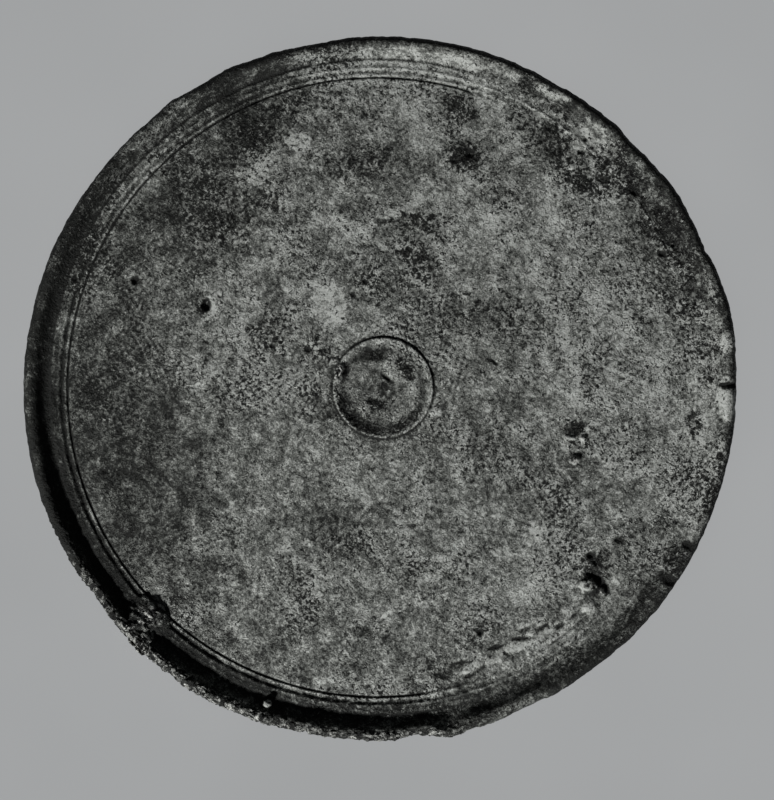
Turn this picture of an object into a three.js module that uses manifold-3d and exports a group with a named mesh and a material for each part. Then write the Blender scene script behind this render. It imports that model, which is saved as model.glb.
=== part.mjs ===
// A bronze mirror, cast and finished on a lathe, lying on its flat reflecting side.
// Its turned back looks up: a raised rim with a hollow inner wall, two ring mouldings
// inside the rim, a wide plain field and a small turned roundel in the middle. The metal
// is old, so the outline is worn, the rim is crusted and corrosion lumps sit on the face.
//
// Millimetres, +Z up. The underside lies in z = 0, and the origin is the middle of the
// outline's bounding box, on the underside. Angles are in degrees, anticlockwise from +X.

import * as THREE from "three";
import { mergeVertices } from "three/addons/utils/BufferGeometryUtils.js";
import Module from "manifold-3d";

const wasm = await Module();
wasm.setup();

// ---- Driving dimensions ----

const OUTLINE_RADIUS = 85; // mean radius of the worn outline
const OVALITY = 0.4; // the disc is this much longer along X and shorter along Y
const FIELD_THICKNESS = 2.2; // of the plain disc inside the mouldings
const STEPS_AROUND = 120;

const CREST_RADIUS = 83.1; // top of the rim
const CREST_HEIGHT = 4; // above the field
const UNDER_ROUND = 0.9; // rounding where the side meets the underside
const UNDER_ROUND_STEPS = 2;

// Turned details as [radius, height above the field] at each corner that the tool left.
// The rim goes from the crease at the foot of its hollow wall, over the crest, to the side.
const RIM = [
  [78.8, 0.45],
  [79.8, 0.8],
  [80.7, 1.6],
  [81.5, 2.7],
  [82.2, 3.55],
  [CREST_RADIUS, CREST_HEIGHT],
  [83.9, 3.75],
  [84.5, 3],
  [84.9, 1.9],
];
const ROUNDEL = [
  [0, -0.25],
  [1.7, 0.15],
  [3.1, -0.2],
  [6.4, 0.15],
  [8.4, -0.2],
  [11.6, 0.5],
  [12.5, 0],
];
const RING_MOULDINGS = [
  [73.9, 0],
  [74.4, -0.25],
  [74.9, 0.1],
  [75.6, 0],
  [76.4, 0.6],
  [77.1, 0.4],
  [78.3, 0.6],
];
const FIELD_RINGS = [22, 34, 46, 58, 66]; // radii that carry the plain field
const UNDERSIDE_RINGS = [58, 30];

// The lathe was not set up twice on the same middle: [x, y] of each turned group.
const ROUNDEL_SHIFT = [0.93, 0.2];
const RING_SHIFT = [-0.45, 0.38];

// Wear and growth along the outline: middle angle, half width in degrees, and how far
// the edge stands out there (chips and flats are negative).
const OUTLINE_WEAR = [
  { at: 5, half: 50, out: 0.3 },
  { at: 140, half: 75, out: -0.3 },
  { at: 12, half: 12, out: 0.65 },
  { at: 24, half: 4, out: -0.45 },
  { at: 34, half: 6, out: 0.3 },
  { at: 43, half: 6, out: -0.45 },
  { at: 60, half: 5, out: -0.35 },
  { at: 101, half: 7, out: -0.4 },
  { at: 115, half: 4, out: 0.4 },
  { at: 126, half: 5, out: 0.5 },
  { at: 157, half: 12, out: 0.15 },
  { at: 207, half: 9, out: -0.25 },
  { at: 216, half: 5, out: -0.85 },
  { at: 241, half: 18, out: 0.65 },
  { at: 276, half: 4, out: -0.9 },
  { at: 282, half: 4, out: 0.8 },
  { at: 295, half: 6, out: -0.65 },
  { at: 307, half: 14, out: -0.4 },
  { at: 342, half: 14, out: -0.2 },
];

// Wear and crust along the rim's crest, in height.
const CREST_WEAR = [
  { at: 20, half: 16, out: -0.25 },
  { at: 60, half: 22, out: -0.15 },
  { at: 140, half: 30, out: -0.1 },
  { at: 200, half: 10, out: 0.15 },
  { at: 216, half: 6, out: -0.35 },
  { at: 238, half: 9, out: 0.3 },
  { at: 262, half: 8, out: 0.2 },
  { at: 276, half: 5, out: -0.35 },
  { at: 288, half: 7, out: 0.15 },
  { at: 318, half: 20, out: -0.2 },
];

// Lumps of corrosion: radius and angle of the middle, height of the middle above the
// field, and half sizes along the radius, around the disc and up.
const LUMPS = [
  { radius: 78.4, at: 224.8, rise: 0.3, size: [4.2, 4.2, 2.6] },
  { radius: 81.6, at: 227.8, rise: 2.4, size: [3, 3.6, 1.75] },
  { radius: 50, at: 340, rise: 0, size: [1.7, 1.7, 1.05] },
  { radius: 66.6, at: 320.2, rise: -0.1, size: [2.6, 2.1, 1.3] },
  { radius: 68.6, at: 318, rise: -0.1, size: [1.5, 2, 1.25] },
  { radius: 68.9, at: 312.8, rise: -0.3, size: [2.2, 2.2, 1] },
  { radius: 11.4, at: 164, rise: -0.1, size: [1.5, 2.3, 0.85] },
  { radius: 70.3, at: 293, rise: -0.75, size: [2.6, 11, 1.25] },
  { radius: 83.3, at: 272.5, rise: 3.2, size: [1.4, 1.8, 0.95] },
  { radius: 83.1, at: 291, rise: 3.1, size: [1.4, 1.6, 1] },
  { radius: 84.1, at: 358, rise: 2.1, size: [1.2, 2.2, 1.5] },
];
const LUMP_STEPS_AROUND = 14;
const LUMP_STEPS_DOWN = 8;
const LUMP_ROUGHNESS = 0.12; // part of a lump's size that its skin wanders by

// ---- Helpers ----

const radians = THREE.MathUtils.degToRad;

// 0 below start, 1 above end, smooth between.
function fade(value, start, end) {
  return THREE.MathUtils.smoothstep(value, start, end);
}

// Sum at an angle of a list of rounded swells and hollows.
function wearAt(list, degrees) {
  let total = 0;
  for (const { at, half, out } of list) {
    const gap = Math.abs(((degrees - at + 540) % 360) - 180);
    if (gap < half) total += out * Math.cos(((gap / half) * Math.PI) / 2) ** 2;
  }
  return total;
}

function geometryFrom(positions, triangles) {
  const geometry = new THREE.BufferGeometry();
  geometry.setAttribute("position", new THREE.BufferAttribute(positions, 3));
  geometry.setIndex(new THREE.BufferAttribute(triangles, 1));
  return geometry;
}

function solidFrom(geometry) {
  geometry.deleteAttribute("normal");
  geometry.deleteAttribute("uv");
  const merged = mergeVertices(geometry, 1e-3);
  const triangles = [];
  const index = merged.index.array;
  for (let i = 0; i < index.length; i += 3) {
    const [a, b, c] = index.slice(i, i + 3);
    if (a !== b && b !== c && c !== a) triangles.push(a, b, c);
  }
  return new wasm.Manifold(
    new wasm.Mesh({
      numProp: 3,
      vertProperties: merged.attributes.position.array,
      triVerts: new Uint32Array(triangles),
    }),
  );
}

// ---- The turned disc ----

// The section from the middle of the underside, out round the rim and back to the middle.
function section() {
  const points = [[0, 0], ...UNDERSIDE_RINGS.toReversed().map((r) => [r, 0])];
  for (let i = 0; i <= UNDER_ROUND_STEPS; i++) {
    const turn = ((i / UNDER_ROUND_STEPS) * Math.PI) / 2;
    const r = OUTLINE_RADIUS - UNDER_ROUND * (1 - Math.sin(turn));
    points.push([r, UNDER_ROUND * (1 - Math.cos(turn))]);
  }
  for (const [r, h] of RIM.toReversed()) points.push([r, FIELD_THICKNESS + h]);
  for (const [r, h] of RING_MOULDINGS.toReversed()) points.push([r, FIELD_THICKNESS + h]);
  for (const r of FIELD_RINGS.toReversed()) points.push([r, FIELD_THICKNESS]);
  for (const [r, h] of ROUNDEL.toReversed()) points.push([r, FIELD_THICKNESS + h]);
  return points.map(([r, z]) => new THREE.Vector2(r, z));
}

// Moves each turned ring to its own middle, then wears the edge and the crest.
function wornDisc() {
  const disc = new THREE.LatheGeometry(section(), STEPS_AROUND);
  disc.rotateX(Math.PI / 2);
  const position = disc.getAttribute("position");
  for (let i = 0; i < position.count; i++) {
    let x = position.getX(i);
    let y = position.getY(i);
    let z = position.getZ(i);
    const r = Math.hypot(x, y);
    if (r < 1e-6) {
      x = 0;
      y = 0;
    }
    const degrees = (THREE.MathUtils.radToDeg(Math.atan2(y, x)) + 360) % 360;
    const oval = OVALITY * Math.cos(radians(2 * degrees));
    const out = oval + wearAt(OUTLINE_WEAR, degrees);
    const stretch = r < 1e-6 ? 1 : 1 + (out * fade(r, 78, 84)) / r;
    x *= stretch;
    y *= stretch;
    if (z > FIELD_THICKNESS / 2) {
      const roundel = 1 - fade(r, 13, 21);
      const rings = fade(r, 60, 73) * (1 - fade(r, 78, CREST_RADIUS));
      x += ROUNDEL_SHIFT[0] * roundel + RING_SHIFT[0] * rings;
      y += ROUNDEL_SHIFT[1] * roundel + RING_SHIFT[1] * rings;
      const crest = fade(z, FIELD_THICKNESS + 1, FIELD_THICKNESS + CREST_HEIGHT);
      z += crest * wearAt(CREST_WEAR, degrees);
    }
    position.setXYZ(i, x, y, z);
  }
  return solidFrom(disc);
}

// ---- The corrosion lumps ----

// A squashed ball with a wandering skin, set on the face with its first size outwards.
function lump({ radius, at, rise, size }) {
  const ball = new THREE.SphereGeometry(1, LUMP_STEPS_AROUND, LUMP_STEPS_DOWN);
  const position = ball.getAttribute("position");
  for (let i = 0; i < position.count; i++) {
    const p = new THREE.Vector3().fromBufferAttribute(position, i);
    const wander = Math.sin(4.1 * p.x + at) + Math.sin(5.3 * p.y - at) * Math.cos(3.7 * p.z);
    p.multiplyScalar(1 + LUMP_ROUGHNESS * wander);
    position.setXYZ(i, p.x * size[0], p.y * size[1], p.z * size[2]);
  }
  ball.rotateZ(radians(at));
  ball.translate(
    radius * Math.cos(radians(at)),
    radius * Math.sin(radians(at)),
    FIELD_THICKNESS + rise,
  );
  return solidFrom(ball);
}

// The part of a lump that would come out under the underside is cut away.
function aboveUnderside(solid) {
  return solid.trimByPlane([0, 0, 1], FIELD_THICKNESS / 2);
}

// ---- The mirror ----

function mirrorDisc() {
  let solid = wornDisc();
  for (const entry of LUMPS) solid = solid.add(aboveUnderside(lump(entry)));
  const { vertProperties, triVerts } = solid.getMesh();
  const geometry = geometryFrom(vertProperties, triVerts);
  geometry.computeBoundingBox();
  const middle = geometry.boundingBox.getCenter(new THREE.Vector3());
  geometry.translate(-middle.x, -middle.y, 0);
  return geometry;
}

const bronze = new THREE.MeshStandardMaterial({
  color: 0x55574f,
  roughness: 0.75,
  metalness: 0.55,
  flatShading: true,
});

const mirror = new THREE.Group();
const disc = new THREE.Mesh(mirrorDisc(), bronze);
disc.name = "mirror_disc";
mirror.add(disc);

export default mirror;
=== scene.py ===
# %% [markdown]
# # A corroded bronze mirror, lying face down with its turned back up
#
# The real object is one round casting, cut true on a lathe and then buried for a very long
# time. Its maker left a raised rim with a hollow inner wall, ring mouldings beside it, a
# wide plain field and a small roundel in the middle. The ground added a grey-green crust,
# pits, lumps and pale blooms. We turn the disc as its maker did, then let it corrode.

import math

import bpy
import numpy as np
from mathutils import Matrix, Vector, noise


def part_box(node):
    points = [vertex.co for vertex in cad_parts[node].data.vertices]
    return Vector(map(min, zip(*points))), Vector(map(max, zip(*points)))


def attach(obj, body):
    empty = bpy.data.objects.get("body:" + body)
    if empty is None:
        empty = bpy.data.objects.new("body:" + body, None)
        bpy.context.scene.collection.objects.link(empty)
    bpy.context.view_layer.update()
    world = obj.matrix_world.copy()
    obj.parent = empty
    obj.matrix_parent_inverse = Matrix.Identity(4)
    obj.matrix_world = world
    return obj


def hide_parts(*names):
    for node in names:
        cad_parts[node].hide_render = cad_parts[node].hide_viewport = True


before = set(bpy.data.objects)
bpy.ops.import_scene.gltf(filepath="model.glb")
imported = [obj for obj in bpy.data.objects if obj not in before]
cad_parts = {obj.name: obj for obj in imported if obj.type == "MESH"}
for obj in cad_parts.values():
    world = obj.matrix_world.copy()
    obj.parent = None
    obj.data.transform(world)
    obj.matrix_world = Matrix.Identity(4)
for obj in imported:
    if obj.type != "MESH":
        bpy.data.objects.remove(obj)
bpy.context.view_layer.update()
MM = 0.001  # every size below is in millimetres until it is handed to Blender

# %% [markdown]
# ## The camera
#
# A disc lying on a table is best seen from straight above. The camera hangs over the disc
# with its top edge towards +Y, far enough away for the rim to show hardly any slant. It is
# made first, because every later choice of size and contrast is judged through it.

# %% Hang the camera over the disc
LENS = 120.0
SENSOR = 36.0
SEEN_HEIGHT = 191.9  # how much of the table the frame takes in, at the rim's height
RIM_HEIGHT = 3.7
AIM = (1.68, -2.68)

camera_data = bpy.data.cameras.new("overhead_camera")
camera_data.lens = LENS
camera_data.sensor_width = SENSOR
camera = bpy.data.objects.new("overhead_camera", camera_data)
camera_height = SEEN_HEIGHT * LENS / SENSOR + RIM_HEIGHT
camera.location = Vector((AIM[0], AIM[1], camera_height)) * MM
bpy.context.scene.collection.objects.link(camera)
bpy.context.scene.camera = camera
print("camera", round(camera_height), "mm above the table")

# %% [markdown]
# ## The table
#
# The mirror lies on smooth pale paper. One large plane is enough, with a very faint mottle
# in its colour so that it reads as paper and not as empty space.

# %% Lay the paper
PAPER_SIDE = 2.4  # metres
PAPER_PATCHES = 14.0  # soft patches to a metre
PAPER_TINTS = [(0.3, (0.355, 0.362, 0.366)), (0.7, (0.375, 0.382, 0.386))]


def deselect_all():
    """Nothing stays selected, so that the next operator acts only on what it adds."""
    if bpy.context.object and bpy.context.object.mode != "OBJECT":
        bpy.ops.object.mode_set(mode="OBJECT")
    bpy.ops.object.select_all(action="DESELECT")


def new_material(name):
    """An empty node material with its output, ready for a shader."""
    material = bpy.data.materials.new(name)
    material.use_nodes = True
    material.node_tree.nodes.clear()
    output = material.node_tree.nodes.new("ShaderNodeOutputMaterial")
    return material, output


def ramp_node(tree, value, stops):
    """A colour for each position of the value."""
    node = tree.nodes.new("ShaderNodeValToRGB")
    tree.links.new(value, node.inputs["Fac"])
    elements = node.color_ramp.elements
    while len(elements) < len(stops):
        elements.new(0.5)
    for element, (position, colour) in zip(elements, stops):
        element.position = position
        element.color = (*colour, 1)
    return node.outputs["Color"]


deselect_all()
bpy.ops.mesh.primitive_plane_add(size=PAPER_SIDE, location=(0, 0, 0))
paper = bpy.context.object
paper.name = "paper"
paper_material, paper_output = new_material("pale_paper")
paper_tree = paper_material.node_tree
paper_coordinates = paper_tree.nodes.new("ShaderNodeTexCoord")
paper_mottle = paper_tree.nodes.new("ShaderNodeTexNoise")
paper_mottle.inputs["Scale"].default_value = PAPER_PATCHES
paper_mottle.inputs["Detail"].default_value = 2.0
paper_shader = paper_tree.nodes.new("ShaderNodeBsdfPrincipled")
paper_shader.inputs["Roughness"].default_value = 0.9
paper_shader.inputs["Specular IOR Level"].default_value = 0.1
paper_tree.links.new(paper_coordinates.outputs["Object"], paper_mottle.inputs["Vector"])
paper_tree.links.new(
    ramp_node(paper_tree, paper_mottle.outputs["Fac"], PAPER_TINTS),
    paper_shader.inputs["Base Color"])
paper_tree.links.new(paper_shader.outputs["BSDF"], paper_output.inputs["Surface"])
paper.data.materials.append(paper_material)
print("paper:", [round(s, 2) for s in paper.dimensions], "m")

# %% [markdown]
# ## The mirror's own measurements
#
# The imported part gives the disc's box. Half its mean width is the disc's radius, and every
# radius of the profile is stretched to it, so the turned disc always fits its frame.

# %% Measure the disc in the frame
disc_low, disc_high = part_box("mirror_disc")
disc_radius = (disc_high.x - disc_low.x + disc_high.y - disc_low.y) / 4 / MM
FIELD_TOP = 2.2  # height of the plain field over the table
RADIUS = 85.0  # mean outline radius that the profile below is drawn for
AXIS = (-0.213, 0.038)  # where the lathe's axis stands in the frame, as the rim is worn
print("disc radius", round(disc_radius, 2), "mm, drawn at", RADIUS)

# %% [markdown]
# ## The section that the lathe cut
#
# A turned shape is one section swept round an axis. The section runs from the middle of
# the underside, out along the flat reflecting side, round the edge, over the crest of the
# rim, down its hollow wall, over the ring mouldings, across the field and into the middle
# of the roundel. Each row below is a corner: radius, then height over the field.

# %% Draw the section's corners
ROUNDEL = [
    (0, -0.32), (0.7, -0.26), (1.65, 0.24), (2.3, 0.02), (3.1, -0.18), (4.4, -0.08),
    (6.4, 0.16), (7.6, -0.06), (8.5, -0.26), (9.7, -0.2), (11.65, 0.55), (11.95, 0.56),
    (12.3, -0.1), (12.7, -0.06), (13.2, 0),
]
RING_MOULDINGS = [
    (73.5, 0), (73.9, 0.05), (74.15, 0), (74.43, -0.5), (74.7, 0), (74.86, 0.16),
    (75.3, 0.12), (75.6, -0.04), (75.9, 0), (76.5, 0.6), (76.75, 0.63), (77.2, 0.4),
    (78.3, 0.62), (78.6, 0.56), (78.78, 0.42),
]
RIM = [
    (78.8, 0.42), (79.4, 0.56), (80.0, 0.9), (80.6, 1.45), (81.15, 2.15), (81.65, 2.9),
    (82.15, 3.5), (82.65, 3.88), (83.15, 4.02), (83.65, 3.9), (84.15, 3.5), (84.55, 2.9),
    (84.85, 2.1), (85.0, 1.3),
]
UNDER_EDGE = [(85.0, -1.3), (84.93, -1.64), (84.74, -1.94), (84.44, -2.13), (84.1, -2.2)]

corners = [(0.0, -FIELD_TOP)]
corners += UNDER_EDGE[::-1]
corners += RIM[::-1]
corners += RING_MOULDINGS[::-1]
corners += ROUNDEL[::-1]
print(len(corners), "corners in the section")

# %% [markdown]
# A tool and two thousand years leave no knife edge, so the corners are eased: the section
# is walked in tiny steps and each point is averaged with its neighbours. Then stations are
# picked along it, close together where the mouldings are fine and wide on the plain parts.

# %% Ease the corners and pick the stations
WALK = 0.04  # length of one tiny step
EASE = 0.11  # how far a corner's easing reaches
RIM_FROM = 72.8  # fine mouldings stand outside this radius
ROUNDEL_TO = 13.6  # and inside this one
UNDER_FLAT_TO = 83.0  # the underside is flat inside this one
RIM_SPACING = 0.2
ROUNDEL_SPACING = 0.3
FIELD_SPACING = 0.56
UNDER_SPACING = 1.3


def eased(points):
    """The section as closely spaced points with softened corners."""
    points = np.array(points, float)
    run = np.concatenate([[0], np.cumsum(np.hypot(*np.diff(points, axis=0).T))])
    walk = np.arange(0, run[-1] + WALK, WALK).clip(0, run[-1])
    path = np.stack([np.interp(walk, run, points[:, axis]) for axis in (0, 1)], axis=1)
    reach = int(3 * EASE / WALK)
    weight = np.exp(-0.5 * (np.arange(-reach, reach + 1) * WALK / EASE) ** 2)
    weight /= weight.sum()
    padded = np.pad(path, ((reach, reach), (0, 0)), mode="edge")
    soft = np.stack([np.convolve(padded[:, axis], weight, "valid") for axis in (0, 1)], axis=1)
    soft[0] = path[0]
    soft[-1] = path[-1]
    return soft


def spacing_at(radius, height):
    """How far apart stations stand at a place on the section."""
    if height < 0.05 - FIELD_TOP and radius < UNDER_FLAT_TO:
        return UNDER_SPACING
    if radius > RIM_FROM:
        return RIM_SPACING
    if radius < ROUNDEL_TO:
        return ROUNDEL_SPACING
    return FIELD_SPACING


path = eased(corners)
stations = [path[0]]
gone = 0.0
for before, point in zip(path, path[1:]):
    gone += math.dist(before, point)
    if gone >= spacing_at(*point):
        stations.append(point)
        gone = 0.0
if math.dist(stations[-1], path[-1]) > RIM_SPACING / 2:
    stations.append(path[-1])
stations = np.array(stations)
stations[:, 0] *= disc_radius / RADIUS
stations[[0, -1], 0] = 0
print(len(stations), "stations along the section")

# %% [markdown]
# ## Turning the disc
#
# The section starts as one point, which is extruded from station to station as a wire.
# A Screw modifier with no climb then sweeps the wire once round the upright axis, which is
# what a lathe does. The spin operator would do the same, but it slows down badly when there
# are hundreds of steps. One wire turned in a thousand steps would crowd its points in the
# middle, so the section is cut into bands, and each is turned in its own number of steps.

# %% Extrude a wire for each band and turn it
BANDS = [  # top side or not, from radius, to radius, steps round
    (False, 0, 30, 200), (None, 30, 44, 1000), (True, 22, 44, 500), (True, 10, 22, 250),
    (True, 0, 10, 120),
]
WELD = 2e-6  # metres: points nearer than this become one
outermost = int(np.argmax(stations[:, 0]))
on_top = np.arange(len(stations)) > outermost


def band_stations(top, start, end):
    """The stations of one band; the rim's band runs from the underside to the top."""
    r = stations[:, 0]
    if top is None:
        return stations[np.where(on_top, r >= end, r >= start)]
    return stations[(on_top == top) & (r >= start) & (r < end)]


def extruded_wire(name, places):
    """A wire through the places, extruded point by point from a single vertex."""
    deselect_all()
    bpy.ops.mesh.primitive_plane_add(size=0.01, location=(0, 0, 0))
    piece = bpy.context.object
    piece.name = name
    bpy.ops.object.mode_set(mode="EDIT")
    bpy.ops.mesh.select_all(action="SELECT")
    bpy.ops.mesh.merge(type="CENTER")
    steps = np.diff(places, axis=0, prepend=[(0, -FIELD_TOP)]) * MM
    bpy.ops.transform.translate(value=(steps[0][0], 0, steps[0][1]))
    for step in steps[1:]:
        bpy.ops.mesh.extrude_region_move(
            TRANSFORM_OT_translate={"value": (step[0], 0, step[1])})
    bpy.ops.object.mode_set(mode="OBJECT")
    return piece


def sweep_round(piece, steps):
    """Sweeps a wire once round the upright axis."""
    turning = piece.modifiers.new("turning", "SCREW")
    turning.axis = "Z"
    turning.screw_offset = 0
    turning.angle = 2 * math.pi
    turning.steps = steps
    turning.render_steps = steps
    bpy.ops.object.modifier_apply(modifier=turning.name)
    bpy.ops.object.mode_set(mode="EDIT")
    bpy.ops.mesh.select_all(action="SELECT")
    bpy.ops.mesh.remove_doubles(threshold=WELD)
    bpy.ops.object.mode_set(mode="OBJECT")


bands = []
for number, (top, start, end, steps) in enumerate(BANDS):
    bands.append(extruded_wire(f"band_{number}", band_stations(top, start, end)))
    sweep_round(bands[-1], steps)
print("points in each band:", [len(piece.data.vertices) for piece in bands])

# %% [markdown]
# The bands are joined into one object. Between two bands there is an open ring of points on
# each side of a narrow gap. Bridge Edge Loops fills such a gap even when the rings have
# different numbers of points. Then the faces are turned to look outwards.

# %% Join the bands and bridge the gaps
GAPS = [(30, False), (44, True), (22, True), (10, True)]  # radius, top side or not
GAP_REACH = 2.0  # both rings of a gap lie within this of its radius


def bridge_gap(piece, radius, top):
    """Fills the gap between the two open rings nearest to a radius on one side."""
    bpy.ops.object.mode_set(mode="EDIT")
    bpy.ops.mesh.select_mode(type="EDGE")
    bpy.ops.mesh.select_all(action="DESELECT")
    bpy.ops.mesh.select_non_manifold()
    bpy.ops.object.mode_set(mode="OBJECT")
    for edge in piece.data.edges:
        if edge.select:
            place = piece.data.vertices[edge.vertices[0]].co / MM
            near = abs(math.hypot(place.x, place.y) - radius) < GAP_REACH
            edge.select = near and (place.z > FIELD_TOP / 2) == top
    bpy.ops.object.mode_set(mode="EDIT")
    bpy.ops.mesh.bridge_edge_loops()
    bpy.ops.object.mode_set(mode="OBJECT")


deselect_all()
for piece in bands:
    piece.select_set(True)
bpy.context.view_layer.objects.active = bands[1]
bpy.ops.object.join()
mirror = bpy.context.object
mirror.name = "turned_mirror"
mirror.data.name = "turned_mirror"
for radius, top in GAPS:
    bridge_gap(mirror, radius, top)
bpy.ops.object.mode_set(mode="EDIT")
bpy.ops.mesh.select_all(action="SELECT")
bpy.ops.mesh.normals_make_consistent(inside=False)
bpy.ops.mesh.select_all(action="DESELECT")
bpy.ops.mesh.select_non_manifold()
bpy.ops.object.mode_set(mode="OBJECT")
open_edges = sum(edge.select for edge in mirror.data.edges)
print("turned:", len(mirror.data.vertices), "points; open edges:", open_edges)

# %% [markdown]
# ## The wear of the outline
#
# No old disc is still a true circle. The table below walks round the outline: the angle of
# the middle of each swell or bite, half its width in degrees, and how far the edge stands
# out there in millimetres. A second table does the same for the height of the crest. Both
# are added with a rounded hump, so no step shows.

# %% Write down the wear and its helpers
OUTLINE_WEAR = [  # middle angle, half width, how far out
    (5, 50, 0.3), (140, 75, -0.3), (12, 12, 0.65), (24, 4, -0.45), (34, 6, 0.3),
    (43, 6, -0.45), (60, 5, -0.35), (101, 7, -0.4), (115, 4, 0.4), (126, 5, 0.5),
    (157, 12, 0.15), (207, 9, -0.25), (216, 5, -0.85), (241, 18, 0.65), (276, 4, -0.9),
    (282, 4, 0.8), (295, 6, -0.65), (307, 14, -0.4), (342, 14, -0.2), (22.8, 1, -0.3),
    (29, 1.6, -0.2), (37.6, 1.2, -0.3), (41, 1.3, 0.15), (48, 1.6, 0.2), (53.5, 1.2, -0.2),
    (66, 1.5, -0.2), (357, 0.9, -0.25), (3, 1.4, 0.15), (251, 1.3, 0.25),
    (258, 1.2, -0.3), (228, 1.4, 0.25), (234, 1.2, -0.25),
]
CREST_WEAR = [  # middle angle, half width, how far up
    (20, 16, -0.25), (60, 22, -0.15), (140, 30, -0.1), (200, 10, 0.15), (216, 6, -0.35),
    (238, 9, 0.3), (262, 8, 0.2), (276, 5, -0.35), (288, 7, 0.15), (318, 20, -0.2),
]
RAGGEDNESS = [(0.16, 2.6, 1), (0.07, 0.9, 2)]  # depth, size and seed of the edge's nibbling
OVALITY = 0.4


def smooth(values, start, end):
    """0 below start, 1 above end and an even curve between."""
    part = np.clip((values - start) / (end - start), 0, 1)
    return part * part * (3 - 2 * part)


def wear_at(table, degrees):
    """The sum of a table's rounded swells and hollows at each angle."""
    total = np.zeros_like(degrees)
    for middle, half, out in table:
        gap = np.abs((degrees - middle + 540) % 360 - 180)
        total += np.where(gap < half, out * np.cos(gap / half * math.pi / 2) ** 2, 0)
    return total


def read_points(piece):
    """A piece's points as an array in millimetres."""
    flat = np.empty(len(piece.data.vertices) * 3, np.float32)
    piece.data.vertices.foreach_get("co", flat)
    return flat.reshape(-1, 3).astype(float) / MM


def write_points(piece, points):
    """Puts the array back as the piece's points."""
    piece.data.vertices.foreach_set("co", (points * MM).astype(np.float32).ravel())
    piece.data.update()


def wander(places, size, seed, octaves=3):
    """Smooth noise from -1 to 1 at each place, with lumps about size across."""
    offset = Vector((seed * 7.3, seed * 3.1, seed * 5.7))
    return np.array([
        noise.fractal(Vector(place) / size + offset, 1.0, 2.0, octaves) for place in places
    ])


def polar(points):
    """Each point's radius from the lathe's axis and its angle in degrees."""
    radius = np.hypot(points[:, 0], points[:, 1])
    return radius, np.degrees(np.arctan2(points[:, 1], points[:, 0])) % 360


points = read_points(mirror)
radius, degrees = polar(points)
top_side = points[:, 2] > FIELD_TOP / 2
print("mean outline wear:", round(float(wear_at(OUTLINE_WEAR, degrees).mean()), 2), "mm")

# %% [markdown]
# Moving the vertices by a sum like this is the code's way of dragging them with a soft
# brush, and it comes out the same each run. The lathe was set up three times, so the
# roundel and the ring mouldings are also slid a little, each onto its own centre.

# %% Wear the outline and the crest
OUTLINE_FADE = (78.0, 84.0)  # the outline's wear fades in over these radii
CREST_FADE = (3.2, 6.2)  # and the crest's over these heights
ROUNDEL_SHIFT = (0.93, 0.2)  # the roundel was turned on a second centre
ROUNDEL_FADE = (13.0, 21.0)  # radii over which its slide dies away
RING_SHIFT = (-0.45, 0.38)  # and the ring mouldings on a third
RINGS_FADE_IN = (60.0, 73.0)
RINGS_FADE_OUT = (78.0, 83.1)
EDGE_STEPS = 3600

edge_degrees = np.arange(EDGE_STEPS) * 360 / EDGE_STEPS
edge_angle = np.radians(edge_degrees)
edge_line = np.stack([np.cos(edge_angle), np.sin(edge_angle), 0 * edge_angle], 1) * RADIUS
ragged = sum(depth * wander(edge_line, size, seed) for depth, size, seed in RAGGEDNESS)
out = OVALITY * np.cos(2 * np.radians(degrees)) + wear_at(OUTLINE_WEAR, degrees)
out += np.interp(degrees, edge_degrees, ragged, period=360)
stretch = 1 + out * smooth(radius, *OUTLINE_FADE) / np.maximum(radius, 1e-6)
points[:, :2] *= stretch[:, None]
roundel = top_side * (1 - smooth(radius, *ROUNDEL_FADE))
rings = top_side * smooth(radius, *RINGS_FADE_IN) * (1 - smooth(radius, *RINGS_FADE_OUT))
for axis in (0, 1):
    points[:, axis] += ROUNDEL_SHIFT[axis] * roundel + RING_SHIFT[axis] * rings
points[:, 2] += smooth(points[:, 2], *CREST_FADE) * wear_at(CREST_WEAR, degrees)
print("outline wanders by", round(ragged.min(), 2), "to", round(ragged.max(), 2), "mm")

# %% [markdown]
# On the right the ring mouldings can hardly be seen, because silt has set hard over them.
# It is a fill that rises towards the rim: where it stands higher than the metal, the
# surface is lifted most of the way to it, so that the mouldings still show faintly.

# %% Fill the mouldings with silt
COVER_FROM = 302  # where the silt starts, in degrees
COVER_SPAN = 140
COVER_FADE = 18
COVER_THICKNESS = 0.85  # 1 would hide the mouldings altogether
SILT_FROM = 71.5  # radius where the fill begins
SILT_RUN = 8.0  # and how far it takes to rise
SILT_TO = 81.0
SILT_DEPTH = 0.72
SILT_CURVE = 1.3


def between(degrees, start, span, fade):
    """1 on an arc that starts at an angle and has a span, fading at both of its ends."""
    turn = (degrees - start) % 360
    return smooth(turn, 0, fade) * (1 - smooth(turn, span - fade, span))


cover = between(degrees, COVER_FROM, COVER_SPAN, COVER_FADE)
silt = FIELD_TOP + SILT_DEPTH * np.clip((radius - SILT_FROM) / SILT_RUN, 0, 1) ** SILT_CURVE
filled = np.maximum(points[:, 2], np.where(top_side & (radius < SILT_TO), silt, 0))
points[:, 2] += cover * COVER_THICKNESS * (filled - points[:, 2])
write_points(mirror, points)
print("silted points:", int((cover > 0.5).sum()))

# %% [markdown]
# ## Placing what the ground added
#
# Corrosion is not the same all over: it sits in places, and each place has a middle, a
# half size along two directions, a turn and a height. One helper measures how far every
# point is from the middle of such a place, 0 in the middle and 1 on its outline. Noise
# bends the outline, because nothing that grew in the ground has a neat edge.

# %% A helper for places


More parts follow.
